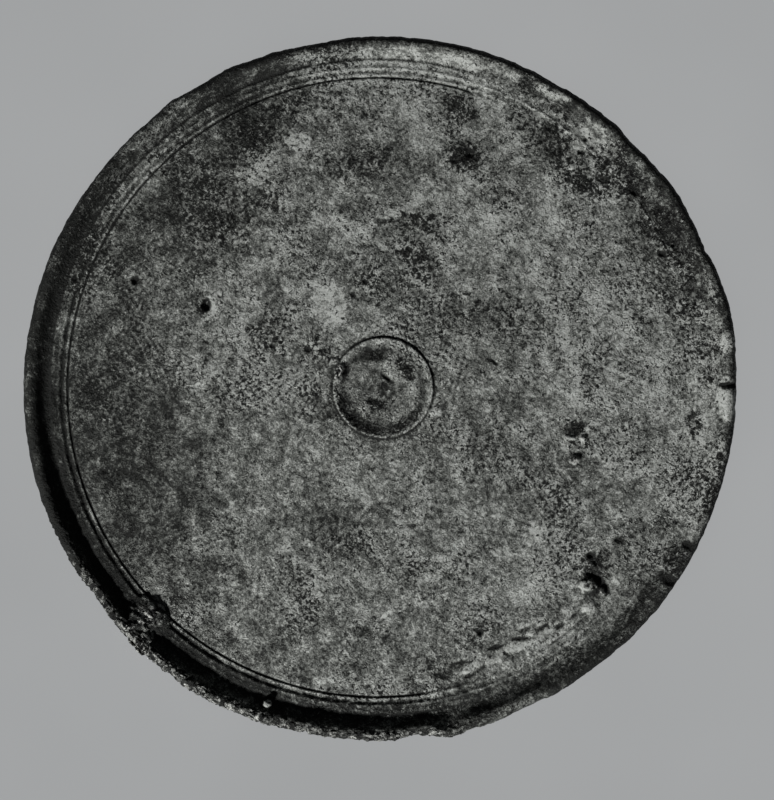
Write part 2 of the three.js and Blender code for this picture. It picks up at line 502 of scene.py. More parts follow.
def place_distance(points, x, y, half_x, half_y, turn=0.0, bend=0.2):
    """0 in the middle of a place, 1 on its bent outline, more beyond."""
    cos_turn = math.cos(math.radians(turn))
    sin_turn = math.sin(math.radians(turn))
    reach = 3.2 * max(half_x, half_y)  # farther points don't matter to any place
    distance = np.full(len(points), 9.0)
    near = (np.abs(points[:, 0] - x) < reach) & (np.abs(points[:, 1] - y) < reach)
    if not near.any():
        return distance
    close = points[near]
    along = (close[:, 0] - x) * cos_turn + (close[:, 1] - y) * sin_turn
    across = (close[:, 1] - y) * cos_turn - (close[:, 0] - x) * sin_turn
    plain = np.hypot(along / half_x, across / half_y)
    size = max(0.8, 0.9 * min(half_x, half_y))
    bent = wander(close * (1, 1, 0), size, x * 0.1 + y, 2)
    distance[near] = plain * (1 + bend * bent)
    return distance


# %% [markdown]
# ## Corrosion lumps
#
# Lumps of mineral crust grew on the rim at the lower left, on the field and on the
# roundel. A lump is a dome that stands on the field, so its height is measured from the
# field's level. Where the dome is higher than the metal, it takes over, with a soft joint
# that fuses the two as the real crust does. Its skin is rough.

# %% Grow the lumps
LUMPS = [  # x, y, half sizes, turn, height over the field, roughness of the skin
    (-55, -54.6, 5.4, 3.6, -45, 2.4, 0.7),
    (-57.6, -56.2, 4.6, 3.6, -45, 3.2, 0.6),
    (-57, -60.8, 3.2, 4, -30, 4.1, 0.5),
    (47, -17.1, 1.6, 1.3, 0, 1.2, 0.2),
    (45.4, -11.8, 0.9, 0.8, 0, 0.6, 0.2),
    (46.6, -12, 0.7, 0.6, 0, 0.5, 0.2),
    (49.1, -12.1, 1, 0.8, 0, 0.9, 0.2),
    (50.2, -47.3, 2.4, 1.6, 10, 1.35, 0.3),
    (53.7, -48.7, 0.9, 1.2, 0, 1.1, 0.3),
    (51, -42.7, 1.1, 0.9, 0, 0.9, 0.3),
    (50.6, -52.6, 2.3, 1.9, 0, 1, 0.1),
    (-9.7, 3.9, 1.5, 2.7, -20, 1.1, 0.4),
    (-10.6, 6.6, 1.1, 0.9, 0, 0.7, 0.4),
    (13.7, -5.3, 1.9, 1.2, 0, 0.6, 0.2),
    (67.7, 41.8, 0.9, 0.9, 0, 1, 0.1),
    (46.3, 53.3, 0.8, 0.8, 0, 0.6, 0.2),
    (49.2, 55.4, 1.1, 0.9, 0, 0.55, 0.2),
    (-26.9, -75.6, 1.4, 1.1, 20, 3.1, 0.2),
]
JOINT = 0.25  # how softly a lump runs into the metal
SKIRT = 1.3  # a lump is worked out to this many times its own size
SKIRT_SLOPE = 3.0  # beyond its outline it dives under the metal this steeply
SKIN_GRAIN = 1.3  # size of the bumps on a lump


def soft_maximum(a, b, softness):
    """The higher of two heights, rounded where they meet."""
    mix = np.clip(0.5 + 0.5 * (a - b) / softness, 0, 1)
    return b + (a - b) * mix + softness * mix * (1 - mix)


points = read_points(mirror)
for x, y, half_x, half_y, turn, height, rough in LUMPS:
    distance = place_distance(points, x, y, half_x, half_y, turn)
    on_lump = (distance < SKIRT) & top_side
    close = points[on_lump]
    skin = 1 + rough * 0.5 * wander(close * (1, 1, 0), SKIN_GRAIN, x, 3)
    dome = np.sqrt(np.clip(1 - distance[on_lump] ** 2, 0, 1)) * height * skin
    dome -= SKIRT_SLOPE * np.clip(distance[on_lump] - 1, 0, 1)
    points[on_lump, 2] = soft_maximum(FIELD_TOP + dome, close[:, 2], JOINT)
write_points(mirror, points)
print(len(LUMPS), "lumps, highest point", round(points[:, 2].max(), 2), "mm")

# %% [markdown]
# ## Pale crusts that follow the metal
#
# Some crusts are only a skin that thickens the metal under them: the white one on the
# crest at the upper right, the two at the right edge, crumbs along the bottom rim and the
# rough band over the mouldings at the lower right. They are added to the height that is
# already there.

# %% Thicken the metal under the crusts
SKINS = [  # x, y, half sizes, turn, thickness
    (41.3, 71.2, 4.6, 1.5, -27, 0.35),
    (83.2, -3.6, 2.2, 4, 0, 0.6),
    (83.3, 11.4, 1.9, 2.6, 0, 0.5),
    (73.4, -39.6, 1.5, 1.2, 0, 0.6),
    (68.6, -42.7, 1.3, 1.1, 0, 0.5),
    (-16.6, -80.6, 1.6, 1.1, 10, 0.4),
    (-2.5, -82.7, 1.5, 1, 0, 0.5),
    (13.9, -81.9, 2.4, 1.1, 8, 0.5),
    (44.5, -71.6, 1.4, 1, 30, 0.4),
    (62, -33, 0.8, 0.7, 0, 0.3),
    (-52.5, 35, 1, 0.8, 0, 0.25),
]
BAND_MIDDLE = 72.8  # radius of the rough band over the mouldings
BAND_HALF = 2.8
BAND_FROM = 277
BAND_SPAN = 29
BAND_FADE = 4
BAND_HEIGHT = 0.36
BAND_LUMPS = 0.4


def band_strength(points):
    """1 on the rough band over the mouldings, 0 away from it."""
    radius, degrees = polar(points)
    across = 1 - smooth(np.abs(radius - BAND_MIDDLE), BAND_HALF * 0.6, BAND_HALF * 1.25)
    return across * between(degrees, BAND_FROM, BAND_SPAN, BAND_FADE)


for x, y, half_x, half_y, turn, thick in SKINS:
    distance = place_distance(points, x, y, half_x, half_y, turn, 0.3)
    points[:, 2] += np.where(top_side, thick * (1 - smooth(distance, 0.5, 1.25)), 0)
band = band_strength(points)
in_band = band > 0
lumpy = np.zeros(len(points))
lumpy[in_band] = BAND_HEIGHT + BAND_LUMPS * wander(points[in_band] * (1, 1, 0), 2.0, 31, 3)
raised = np.maximum(points[:, 2], FIELD_TOP + lumpy)
points[:, 2] += np.where(top_side, band * (raised - points[:, 2]), 0)
write_points(mirror, points)
print(len(SKINS), "skins; points in the rough band:", int(in_band.sum()))

# %% [markdown]
# ## Pits, cracks and hollows
#
# Where the crust fell away or ate inwards there are pits. Most are about a millimetre
# across and nearly as deep, so they go black in the slanting light. Long thin ones are
# cracks along the crust. They are pressed into the surface in the same way.

# %% Press in the pits
PITS = [  # x, y, half sizes, turn, depth
    (-41.6, 20.1, 1.2, 1.5, 0, 1.2), (-58.6, 26, 1, 1.1, 0, 0.9),
    (-73.2, 26.4, 0.8, 1.1, 0, 0.6), (-65.9, -19.8, 0.9, 0.6, 0, 0.6),
    (24.3, -58.7, 0.8, 0.8, 0, 0.9), (22, 56.5, 1.2, 1.1, 0, 0.9),
    (18.2, 54.8, 1, 0.9, 0, 0.8), (27.4, 6.6, 1.9, 0.4, -31, 0.6),
    (-17, 9.3, 1, 0.9, 0, 0.7), (-25.8, 10.3, 0.8, 0.8, 0, 0.6),
    (-11.9, -6.5, 0.7, 0.7, 0, 0.5), (-41.6, 6.9, 0.6, 0.6, 0, 0.5),
    (-41.6, 11.3, 0.9, 0.5, 0, 0.5), (10.8, 31.8, 1.3, 0.6, -50, 0.5),
    (0.8, 40.3, 2.5, 0.45, 0, 0.5), (61, 47.8, 1.5, 1.3, -45, 0.7),
    (67, 48.7, 1.1, 0.6, 0, 0.6), (67.7, 43.4, 1.1, 0.5, 0, 0.6),
    (68.2, 32.3, 1.1, 0.9, 0, 0.6), (70.6, 34.4, 0.7, 0.6, 0, 0.5),
    (53.5, 50.4, 1.4, 1, 0, 0.6), (49.7, 59.9, 0.6, 0.6, 0, 0.5),
    (48.5, 56.9, 1, 0.5, 0, 0.5), (-3.5, 25.8, 0.9, 0.7, 0, 0.5),
    (-6.3, 22.6, 0.8, 0.6, 0, 0.5), (57.8, -36.4, 1.6, 1, 0, 0.6),
    (19.7, -65.9, 2.4, 0.5, 12, 0.5), (24.1, -67.4, 2.1, 0.6, 30, 0.5),
    (15.1, -69.1, 2.1, 1, -10, 0.6), (35.3, -57.8, 1.7, 0.5, 20, 0.5),
    (43.4, -57, 1.4, 0.5, 20, 0.5), (46.8, -54.7, 1.4, 0.5, 40, 0.5),
    (50.9, -40.1, 1.3, 0.9, 0, 0.9), (50.6, -44.4, 1.6, 0.9, 0, 0.8),
    (53, -46.1, 2, 1.1, -40, 0.8), (54.7, -48.2, 0.9, 1.2, 0, 0.6),
    (83.3, 0.8, 2.2, 0.8, 0, 1.2), (69.6, -45.8, 2.1, 1.4, -30, 1),
    (73.7, -37.4, 1.3, 1, 0, 0.7), (47.4, -9.2, 2.6, 1.4, 20, 0.45),
    (5, 40.8, 1.6, 0.5, 20, 0.4), (9, 39.4, 1.8, 0.5, -10, 0.4),
    (12.5, 41.2, 1.2, 0.5, 30, 0.4), (-19, -45.9, 0.5, 0.5, 0, 0.4),
    (-29.2, -50.1, 0.5, 0.5, 0, 0.4), (-7.9, 4.5, 0.9, 2, -20, 0.6),
    (0.9, -1.3, 1.2, 0.6, 10, 0.35), (-2.2, -3, 1.2, 0.5, -35, 0.4),
    (34.4, -60.1, 3.3, 0.5, 5, 0.6), (28, -62.2, 2.4, 0.5, 12, 0.6),
    (39.4, -57.4, 2.2, 0.5, 28, 0.6), (21.6, -69, 2, 0.45, 15, 0.5),
    (2, 2.4, 1.7, 0.5, -35, 0.35),
]
for x, y, half_x, half_y, turn, depth in PITS:
    distance = place_distance(points, x, y, half_x, half_y, turn, 0.25)
    points[:, 2] -= np.where(top_side, depth * (1 - smooth(distance, 0.25, 1.25)), 0)
write_points(mirror, points)
print(len(PITS), "pits and cracks")

# %% [markdown]
# ## The rough grain of the crust
#
# Under the placed features there is grain everywhere: bumps of a millimetre or so, calmer
# where pale mineral has filled them and much coarser on the crusted rim. Displace
# modifiers do this well. Each reads a noise texture and moves the points, and a vertex
# group says how strongly at each place, like a weight painted mask. The modifiers are then
# applied, so that the grain is real shape.

# %% Paint the masks for the grain
BLOOMS = [  # x, y, half sizes, turn, strength: smooth pale mineral films
    (41.3, 71.2, 4.4, 1.5, -27, 1.7), (67.7, 41.7, 0.8, 0.8, 0, 1.8),
    (46.3, 53.2, 0.8, 0.8, 0, 1.7), (-35, 71, 1.2, 0.8, 0, 0.6),
    (-19.4, 59.5, 3.8, 2.9, 0, 1), (-27.6, 53, 3, 6.2, -35, 1),
    (-39.8, 19.9, 2.3, 5, -20, 0.9), (-44.5, 17, 1.6, 2.6, 20, 0.6),
    (-12.2, 20.2, 5, 7, 15, 1), (0, 16, 3.2, 2.8, 0, 0.8),
    (43.9, 12.5, 2.2, 3.3, 15, 1.1), (48.1, 15.2, 1.2, 0.9, 0, 0.7),
    (47.5, 7.4, 1.8, 1.4, 0, 0.6), (37.6, -35.3, 4.3, 4.1, 0, 0.85),
    (43, -35, 0.8, 0.6, 0, 0.7), (51.8, 60.2, 2.8, 5.6, 31, 1),
    (-2.9, 36.6, 1.3, 1, 0, 0.9), (12.7, 69.4, 1.3, 1.1, 0, 0.8),
    (-2.7, 46, 1, 1, 0, 0.8), (-55.9, 3.4, 1.1, 0.9, 0, 0.9),
    (-5.5, -43.2, 5, 0.9, 10, 0.7), (13, -41.2, 5, 0.8, 2, 1),
    (22.3, -41.5, 2.6, 0.9, -5, 0.9), (20.5, -46.8, 2.5, 0.8, 10, 0.5),
    (-0.8, -58.2, 0.9, 2.4, -20, 0.8), (1.6, -54.5, 0.9, 2.2, -50, 0.9),
    (5.6, -52.7, 2.4, 0.8, 18, 0.9), (10, -51.8, 2.4, 0.8, 8, 0.8),
    (83.2, -3.6, 2.4, 4, 0, 1.4), (83.4, 11.3, 1.9, 2.6, 0, 1.3),
    (-26.9, -75.8, 1.3, 1, 20, 1.3), (-16.6, -80.8, 2, 1.1, 10, 1.2),
    (-2.5, -82.7, 1.6, 1, 0, 1.2), (13.9, -82, 2.4, 1, 8, 1.2),
    (31, -63, 18.5, 1.7, 28, 0.9), (40, -61.5, 9, 1.3, 32, 0.7),
    (-36, 46.5, 2, 1.6, 0, 0.6), (-22, 34, 3.5, 2, 30, 0.5),
]
CRUSTS = [  # x, y, half sizes, turn, strength: pale granular crust
    (-55.9, -54.7, 4.2, 3.8, 0, 1), (-56.5, -61.5, 3.4, 4.2, 0, 1),
    (-60.6, -57.4, 2.6, 2.8, 0, 1),
    (47, -17.1, 1.5, 1.2, 0, 1), (50.2, -47.3, 2, 1.3, 10, 0.9),
    (53.6, -48.7, 0.9, 1.1, 0, 0.9), (50.8, -42.7, 0.9, 0.8, 0, 0.7),
    (50.6, -52.6, 2, 1.6, 0, 0.7), (-9.9, 3.8, 1.4, 2.6, -20, 1.1),
    (-10.4, 6.7, 1, 0.8, 0, 0.9), (49.2, 55.2, 1.2, 0.9, 0, 0.8),
    (73.2, -39.6, 1.4, 1.2, 0, 0.9), (68.6, -42.9, 1.2, 1, 0, 0.8),
    (44.5, -71.8, 1.4, 1, 30, 0.9), (71.8, 46, 1.6, 3.6, 50, 0.5),
    (75, 40.5, 1.3, 2.4, 50, 0.45), (-53, -50, 1.5, 1.2, 0, 0.5),
]
STAINS = [  # x, y, half sizes, turn, strength: dark, densely pitted patches
    (-24.7, 66.7, 7, 4, 20, 0.6), (-35.8, 41, 7, 6, 30, 0.7),
    (19.9, 67.4, 3.5, 5.5, 0, 0.7), (20.5, 56, 3.6, 3, 20, 0.9),
    (42, 59.5, 4, 5.5, 20, 0.8), (35, 72.8, 2.2, 1.4, -20, 0.9),
    (44.4, 67, 2.2, 1.5, 0, 0.9), (50, 48.5, 4.5, 2.6, -30, 0.8),
    (61, 47.8, 3, 2.6, -45, 0.9), (68.6, 37, 5.5, 13, 30, 0.75),
    (76, 22, 3.6, 8, 15, 0.5), (20.6, 17.8, 6, 5, 0, 0.5),
    (30, 18, 7, 4.5, 0, 0.4), (21.8, 4.1, 3.5, 3, 0, 0.5),
    (-8.6, -35.5, 7, 5.5, 0, 0.4), (-6, 53.8, 9, 4, 0, 0.55),
    (1.4, 55, 2.1, 3.5, 0, 0.6), (47.5, -9.1, 3.4, 2.2, 0, 0.8),
    (47.5, -13, 3, 2, 0, 0.5), (75.4, -8.4, 2, 3, 0, 0.8),
    (80.6, -19.4, 3, 9, -15, 0.45), (52, -44.5, 3.6, 4.4, 0, 0.75),
    (-43, 20, 2.6, 2.6, 0, 0.7), (-26, 12, 4, 5, 0, 0.45),
    (-14, 8, 3.6, 4, 0, 0.45), (-14, -4, 5, 6, 20, 0.4),
    (71, -40, 4.5, 3.6, -30, 0.5), (8, 40, 7, 2.6, -8, 0.7),
    (5.5, 33, 7, 3, -20, 0.55), (-1, 24, 5, 3, 0, 0.6),
    (56, 55, 6, 9, 45, 0.42), (73, 22, 5, 14, 12, 0.45),
    (66, 48, 4, 8, 48, 0.5), (79, 8, 3, 9, 5, 0.5),
    (60, 58, 3, 14, 46, 0.45), (-1, 7.6, 3.2, 1.3, 0, 0.95),
    (6.5, 4.5, 1.3, 2.8, 35, 0.95), (1.2, 0.8, 1.8, 0.9, 0, 0.9),
    (-0.4, -3.5, 2.2, 0.9, -20, 0.85), (-8.9, -3.6, 1, 2.6, 20, 1.1),
    (-6.3, -7.2, 1.2, 2.8, 45, 1.2), (-2.2, -9.9, 1.1, 2.6, 75, 1.1),
    (4.5, -9.3, 1, 2.4, -70, 0.8), (8.6, -6.6, 0.9, 2.4, -42, 0.9),
    (-56, 58, 3.5, 26, 46, 0.42), (-70, 38, 3.5, 18, 28, 0.5),
    (59.5, -59.5, 3, 16, -45, 0.45), (-31, 62, 5, 7, 50, 0.7),
    (-28, 45, 6, 3, 10, 0.6), (79.5, -24, 2.5, 12, -17, 0.6),
]
CRUST_FROM = 188  # the rim's crust thickens from here, in degrees
CRUST_FULL = 216
CRUST_THINS = 278
CRUST_TO = 302
BAND_CRUST = 0.3  # how much crust lies on the rough band


def field_of(points, table, reach=2.0):
    """How strongly a table's places hold each point: half strength on their outlines."""
    strength = np.zeros(len(points))
    for x, y, half_x, half_y, turn, amount in table:
        distance = place_distance(points, x, y, half_x, half_y, turn, 0.15)
        strength = np.maximum(strength, amount * (1 - smooth(distance, 0, reach)))
    return strength


def rim_crust(points):
    """1 on the crusted stretch of the rim's crest and outer round, 0 elsewhere."""
    radius, degrees = polar(points)
    thickens = smooth(degrees, CRUST_FROM, CRUST_FULL)
    stretch = thickens * (1 - smooth(degrees, CRUST_THINS, CRUST_TO))
    return stretch * smooth(radius, 81.2, 82.4) * smooth(points[:, 2], 1.0, 3.0)


def placed_crust(points):
    """The crusts from the table and the thin crust on the rough band."""
    return np.maximum(field_of(points, CRUSTS), BAND_CRUST * band_strength(points))


def paint_group(piece, name, weights):
    """Makes a vertex group with each point's weight, in steps of a hundredth."""
    group = piece.vertex_groups.new(name=name)
    steps = np.clip(np.round(weights * 100), 0, 100).astype(int)
    for step in range(1, 101):
        members = np.flatnonzero(steps == step)
        if len(members):
            group.add(members.tolist(), step / 100, "REPLACE")


top_mask = top_side.astype(float)
roughness = 0.5 + 0.5 * field_of(points, STAINS) - 0.6 * field_of(points, BLOOMS)
on_wall = smooth(polar(points)[0], 78.6, 79.2)
grain_weight = top_mask * np.clip(roughness, 0.12, 1) * (1 - 0.5 * on_wall)
crust_weight = np.maximum(placed_crust(points) * 0.5, rim_crust(points))
crust_weight = top_mask * np.clip(crust_weight, 0, 1)
paint_group(mirror, "grain", grain_weight)
paint_group(mirror, "crust", crust_weight)
paint_group(mirror, "underside", (points[:, 2] < 0.3).astype(float))
print("masks painted; crusted points:", int((crust_weight > 0.5).sum()))

# %% [markdown]
# Three noises go over the turned side: a fine one and a coarse one wherever there is grain,
# and a harder, deeper one for the granules of the crust. The side that faces the table gets
# only shallow pits, because the crust there was thin and even.

# %% Displace the grain, the crust and the underside


def noise_texture(name, kind, size, **settings):
    """A noise texture whose lumps are about size millimetres across."""
    texture = bpy.data.textures.new(name, type=kind)
    texture.noise_scale = size * MM
    for key, value in settings.items():
        setattr(texture, key, value)
    return texture


def displace(piece, texture, height, group, direction="NORMAL", middle=0.5):
    """Moves the points of a group by a texture, by height millimetres from dark to light."""
    modifier = piece.modifiers.new(texture.name, "DISPLACE")
    modifier.texture = texture
    modifier.texture_coords = "LOCAL"
    modifier.strength = height * MM
    modifier.mid_level = middle
    modifier.vertex_group = group
    modifier.direction = direction
    bpy.ops.object.modifier_apply(modifier=modifier.name)


deselect_all()
mirror.select_set(True)
bpy.context.view_layer.objects.active = mirror
fine_grain = noise_texture("fine_grain", "CLOUDS", 0.9, noise_depth=2)
coarse_grain = noise_texture("coarse_grain", "CLOUDS", 2.6, noise_depth=2)
crust_grain = noise_texture("crust_grain", "CLOUDS", 1.3, noise_depth=3, noise_type="HARD_NOISE")
under_pits = noise_texture("under_pits", "CLOUDS", 3.0, noise_depth=3)
displace(mirror, fine_grain, 0.5, "grain")
displace(mirror, coarse_grain, 0.7, "grain")
displace(mirror, crust_grain, 1.3, "crust")
displace(mirror, under_pits, 0.12, "underside", "Z", middle=0.45)
print("grain applied to", len(mirror.data.vertices), "points")

# %% [markdown]
# ## Fewer, better placed triangles
#
# Turning leaves the points crowded in the middle of each band and sparse at its outside.
# Decimate collapses the edges that shape the surface least, so what is left is spent where
# the relief is. The underside is then pressed level, because the mirror rests on it, and
# the highest crust is eased down to the frame's own height.

# %% Thin the mesh and level the underside
MOST_TRIANGLES = 190000
CEILING = disc_high.z / MM  # nothing rises over the frame's highest point
CEILING_EASE = 0.5
SLIVER = 1e-6  # metres: faces thinner than this are taken out

triangles_now = sum(len(face.vertices) - 2 for face in mirror.data.polygons)
thin = mirror.modifiers.new("thin", "DECIMATE")
thin.ratio = MOST_TRIANGLES / triangles_now
bpy.ops.object.modifier_apply(modifier=thin.name)
bpy.ops.object.mode_set(mode="EDIT")
bpy.ops.mesh.select_all(action="SELECT")
bpy.ops.mesh.dissolve_degenerate(threshold=SLIVER)
bpy.ops.mesh.quads_convert_to_tris()
bpy.ops.mesh.normals_make_consistent(inside=False)
bpy.ops.object.mode_set(mode="OBJECT")
bpy.ops.object.shade_smooth()
points = read_points(mirror)
points[:, 2] = -soft_maximum(-points[:, 2], -CEILING, CEILING_EASE)
points[:, 2] = np.maximum(points[:, 2], 0)
write_points(mirror, points)
mirror.vertex_groups.clear()
print("from", triangles_now, "to", len(mirror.data.polygons), "triangles")

# %% [markdown]
# ## Telling the finish where it is
#
# The patina isn't equally dark all over. Wide soft tones run through it: it is darker at
# the left and paler towards the right. Others follow the rim. Some are dark patina or
# rubbed places on the crest and wall. Others are painted shade that darkens the hollow wall
# and the mouldings at the left and bottom to widen the rim's shadow, and one is painted
# light, a paler strip at the wall's foot inside that shadow. They are placed like the lumps
# and pits, but they add up instead of taking over from each other.

# %% Write down the tones
TONES = [  # x, y, half sizes, turn, lighter or darker: wide soft parts of the patina
    (-88, -6, 27, 62, 0, -0.44), (-60, -52, 14, 14, 0, -0.16),
    (-54, -14, 8, 9, 0, -0.14), (-50, 41, 9, 7, 30, -0.16),
    (-44, 50, 13, 11, 35, -0.18), (-34, 68, 14, 7, 30, -0.36),
    (66, -46, 10, 10, -30, -0.12), (0.9, 0.2, 10, 10, 0, -0.1),
    (27, 12, 9, 6, 0, -0.12), (27, -12, 8, 9, 0, -0.08),
    (0, 53, 8, 5, 0, -0.12), (-14, -32, 7, 8, 0, -0.08),
    (8, 78, 28, 7, 0, 0.3), (20, 66, 14, 7, 0, 0.08),
    (24, 38, 14, 9, 0, 0.14), (8, 40, 18, 7, 0, 0.06),
    (48, 24, 14, 14, 0, 0.16), (58, -2, 16, 16, 0, 0.18),
    (80, -8, 7, 30, -8, 0.16), (-34, 8, 9, 12, 0, 0.08),
    (54, 66, 7, 5, -45, 0.12), (36, -46, 14, 10, 0, 0.08),
    (-34, -66, 12, 6, -20, -0.16), (26, -66, 10, 5, 15, -0.1),
    (-58, -24, 13, 22, 0, -0.2), (-42, -38, 13, 12, 0, -0.12),
    (-20, -60, 16, 8, 0, -0.08), (56, 50, 9, 8, 45, 0.12),
    (78, 16, 5, 12, 10, 0.1), (68, -47, 7, 12, -35, 0.12),
    (-26, 50, 7, 6, 30, 0.1), (-50, 24, 8, 7, 0, -0.14),
    (-40, -16, 9, 9, 0, -0.14), (-24, -27, 8, 7, 0, -0.08),
    (-4, -66, 13, 5, 0, -0.12), (-52, 62, 6, 7, 40, 0.16),
    (20, 78, 14, 5, 0, 0.14), (52, 53, 8, 6, 45, 0.14),
    (0, 45, 9, 10, 0, 0.1), (26, 52, 8, 6, 0, 0.1),
    (78, 24, 5, 10, 10, 0.1), (-26, 6, 8, 9, 0, 0.12),
    (13, 8, 9, 10, 0, 0.1), (78, -28, 6, 9, -20, 0.22),
    (65, -44, 7, 9, -35, 0.1), (-52, -52, 6, 6, 0, 0.1),
    (-12, -36, 8, 9, 0, -0.08), (16, -52, 10, 7, 0, -0.07),
]
# Besides dark patina, these paint shade over the hollow wall and mouldings at the left and
# bottom, and paint light on the wall's foot at 232 degrees.
RIM_TONES_AND_SHADE = [  # middle angle, half width, from radius, to radius, lighter or darker
    (160, 50, 78.5, 81.5, -0.4), (112, 16, 70, 84, -0.3), (225, 80, 77.5, 79.5, -0.2),
    (25, 36, 76, 80, -0.15), (320, 28, 79, 82, -0.45), (206, 18, 80, 83, -0.4),
    (90, 30, 80.5, 83, -0.2), (45, 30, 81.5, 83.5, -0.3), (240, 30, 82, 83, -0.1),
    (75, 62, 80.6, 82, -0.42), (118, 30, 81, 83, -0.3), (145, 30, 81, 82.5, -0.3),
    (20, 14, 80, 82, -0.15), (338, 26, 81.5, 84.5, -0.5), (306, 18, 81, 82, -0.5),
    (280, 12, 81, 83, -0.2), (204, 24, 81.5, 83, -0.5), (245, 105, 75.3, 76.6, -0.5),
    (0, 18, 80.5, 82.5, -0.34), (20, 12, 80, 82, -0.12), (50, 24, 79.8, 81.5, -0.26),
    (232, 54, 78.6, 79.6, 0.34), (232, 54, 81.6, 82.6, -0.3), (180, 30, 79.8, 81, 0.1),
    (90, 34, 81.4, 82.4, -0.25), (70, 72, 82.8, 83.8, -0.5), (10, 30, 83, 84, -0.3),
]


def rim_tone_and_shade(points):
    """The tones and painted shade that run along the rim, each over its own arc and outside its
    radius.
    """
    radius, degrees = polar(points)
    total = np.zeros(len(points))
    for middle, half, start, end, amount in RIM_TONES_AND_SHADE:
        total += wear_at([(middle, half, amount)], degrees) * smooth(radius, start, end)
    return total


def sum_of(points, table):
    """The sum of a table's soft places at each point."""
    total = np.zeros(len(points))
    for x, y, half_x, half_y, turn, amount in table:
        distance = place_distance(points, x, y, half_x, half_y, turn, 0.15)
        total += amount * (1 - smooth(distance, 0, 2))
    return total


print(len(TONES), "wide tones and", len(RIM_TONES_AND_SHADE), "along the rim")

# %% [markdown]
# The finish has to know where the blooms, crusts, stains and tones are. Each field is
# worked out on the thinned mesh and stored as an attribute, one number a point. The
# hollows come from the shape itself: a point that lies below the mean of its neighbours
# gets painted shade, and one that stands above them is painted paler. The pits get painted
# shade as well. Last, the mirror is moved from the lathe's axis to its place in the frame.

# %% Store the fields as attributes
NEIGHBOUR_ROUNDS = 6  # how often the mean spreads by one neighbour
PLAIN_SIDE_TO = 0.4  # points under this height belong to the plain side
BLOOM_STRENGTH = 1.35
STAIN_STRENGTH = 1.15
RIM_CRUST_STRENGTH = 0.75


def store(piece, name, values):
    """Keeps one number a point on the piece, for its material to read."""
    attribute = piece.data.attributes.new(name, "FLOAT", "POINT")
    attribute.data.foreach_set("value", values.astype(np.float32))
    print(f"  {name}: {values.min():.2f} to {values.max():.2f}")


def hollowness(piece, points):
    """How far each point lies below the mean of its neighbours, in millimetres."""
    ends = np.empty(len(piece.data.edges) * 2, np.int32)
    piece.data.edges.foreach_get("vertices", ends)
    first, second = ends.reshape(-1, 2).T
    count = np.bincount(ends, minlength=len(points)).clip(1)
    mean = points[:, 2].copy()
    for _ in range(NEIGHBOUR_ROUNDS):
        total = np.bincount(first, mean[second], len(points))
        total += np.bincount(second, mean[first], len(points))
        mean = total / count
    return mean - points[:, 2]


facing_up = np.where(points[:, 2] > PLAIN_SIDE_TO, 1.0, 0.0)
all_crust = np.maximum(placed_crust(points), RIM_CRUST_STRENGTH * rim_crust(points))
hidden_span = COVER_FROM + COVER_SPAN - BAND_FROM
hidden_rings = between(polar(points)[1], BAND_FROM, hidden_span, COVER_FADE)
store(mirror, "bloom", facing_up * BLOOM_STRENGTH * field_of(points, BLOOMS))
store(mirror, "stain", facing_up * STAIN_STRENGTH * field_of(points, STAINS))
store(mirror, "crust", facing_up * all_crust)
# The tone field carries painted shade and painted light along the rim as well as the patina's
# tones.
store(mirror, "tone_and_rim_shade", sum_of(points, TONES) + rim_tone_and_shade(points))
# The pit field paints shade into the pits.
store(mirror, "pit_shade", facing_up * field_of(points, PITS, 1.6))
store(mirror, "bare_rings", 1 - hidden_rings)
# The hollow field paints shade into hollows and paints high points paler.
store(mirror, "hollow", np.clip(hollowness(mirror, points) * facing_up, -0.5, 0.5))
store(mirror, "top", facing_up)
points[:, :2] += AXIS
write_points(mirror, points)
print("axis moved to", AXIS)

# %% [markdown]
# ## The finish, part one: helpers and a shared effect
#
# Blooms, stains and crusts all need the same thing done to their soft field: its edge
# broken by a coarse mottle and a fine speckle, then sharpened. Where the field is nought
# it starts low, so that a small part of noise does nothing there, and only a large part
# like a stain's may leave stray specks. That is one node group with named sockets, placed
# once for each of them. It gives out a mask and leaves the shading to the material.

# %% Build the broken edge group
FIELD_FLOOR = -0.5  # where a field of nought starts
FIELD_GAIN = 1.4
EDGE_FROM = 0.36  # the mask sharpens between these two
EDGE_TO = 0.7


def wire(tree, node_type, **sockets):
    """A new node whose named inputs are set to numbers or linked to other sockets."""
    node = tree.nodes.new(node_type)
    for name, value in sockets.items():
        socket = node.inputs[name.replace("_", " ")]
        if isinstance(value, bpy.types.NodeSocket):
            tree.links.new(value, socket)
        else:
            socket.default_value = value
    return node


def sum_node(tree, first, second, times=1.0):
    """first + second * times."""
    node = tree.nodes.new("ShaderNodeMath")
    node.operation = "MULTIPLY_ADD"
    for socket, value in zip(node.inputs, (second, times, first)):
        if isinstance(value, bpy.types.NodeSocket):
            tree.links.new(value, socket)
        else:
            socket.default_value = value
    return node.outputs["Value"]


def step_node(tree, value, start, end, low=0.0, high=1.0):
    """An even step from low to high as the value goes from start to end."""
    node = tree.nodes.new("ShaderNodeMapRange")
    node.interpolation_type = "SMOOTHSTEP"
    tree.links.new(value, node.inputs["Value"])
    node.inputs["From Min"].default_value = start
    node.inputs["From Max"].default_value = end
    node.inputs["To Min"].default_value = low
    node.inputs["To Max"].default_value = high
    return node.outputs["Result"]


